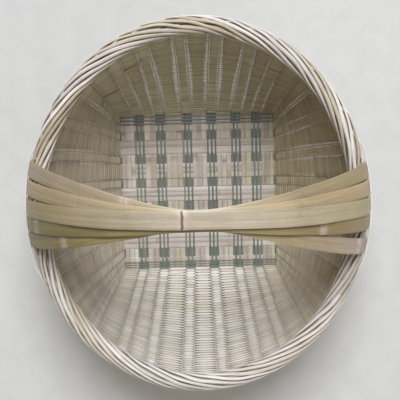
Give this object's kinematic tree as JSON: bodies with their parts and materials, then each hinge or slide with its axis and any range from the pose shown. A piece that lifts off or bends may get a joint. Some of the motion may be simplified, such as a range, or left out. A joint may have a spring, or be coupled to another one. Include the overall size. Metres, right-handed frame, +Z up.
{
  "type": "handled winnowing basket",
  "caption": "Woven split-bamboo basket with a square base, flared walls, an oval wound rim and an arched handle of wide strips gathered at the crown.",
  "frame": {"origin": "middle of the underside of the woven base, in the plane it stands on", "axes": "+X along the handle towards its right end, +Y from the basket's front to its back, +Z up out of the mouth"},
  "size_m": [0.3868, 0.4242, 0.2858],
  "materials": {
    "natural_bamboo": "satin",
    "green_bamboo": "satin",
    "weft_bamboo": "satin",
    "rim_bamboo": "satin",
    "handle_bamboo": "satin"
  },
  "bodies": {
    "root": {"cross_splints_1": "natural_bamboo", "cross_splints_2": "natural_bamboo", "cross_splints_3": "natural_bamboo", "cross_splints_4": "natural_bamboo", "cross_splints_5": "natural_bamboo", "cross_splints_6": "natural_bamboo", "cross_splints_7": "natural_bamboo", "green_cross_splints_1": "green_bamboo", "green_cross_splints_2": "green_bamboo", "green_cross_splints_3": "green_bamboo", "green_cross_splints_4": "green_bamboo", "green_cross_splints_5": "green_bamboo", "green_cross_splints_6": "green_bamboo", "green_cross_splints_7": "green_bamboo", "green_cross_splints_8": "green_bamboo", "green_long_splints_1": "green_bamboo", "green_long_splints_2": "green_bamboo", "green_long_splints_3": "green_bamboo", "green_long_splints_4": "green_bamboo", "green_long_splints_5": "green_bamboo", "green_long_splints_6": "green_bamboo", "handle_strip_1": "handle_bamboo", "handle_strip_2": "handle_bamboo", "handle_strip_3": "handle_bamboo", "handle_strip_4": "handle_bamboo", "handle_strip_5": "handle_bamboo", "long_splints_1": "natural_bamboo", "long_splints_2": "natural_bamboo", "long_splints_3": "natural_bamboo", "long_splints_4": "natural_bamboo", "long_splints_5": "natural_bamboo", "long_splints_6": "natural_bamboo", "long_splints_7": "natural_bamboo", "rim_binding_cane": "rim_bamboo", "rim_inner_hoop": "rim_bamboo", "rim_outer_hoop": "rim_bamboo", "rim_strand_1": "rim_bamboo", "rim_strand_2": "rim_bamboo", "rim_strand_3": "rim_bamboo", "rim_strand_4": "rim_bamboo", "weft_band_1": "weft_bamboo", "weft_band_2": "weft_bamboo", "weft_band_3": "weft_bamboo", "weft_band_4": "weft_bamboo", "weft_band_5": "weft_bamboo", "weft_band_6": "weft_bamboo", "weft_band_7": "weft_bamboo", "weft_band_8": "weft_bamboo"}
  },
  "joints": []
}
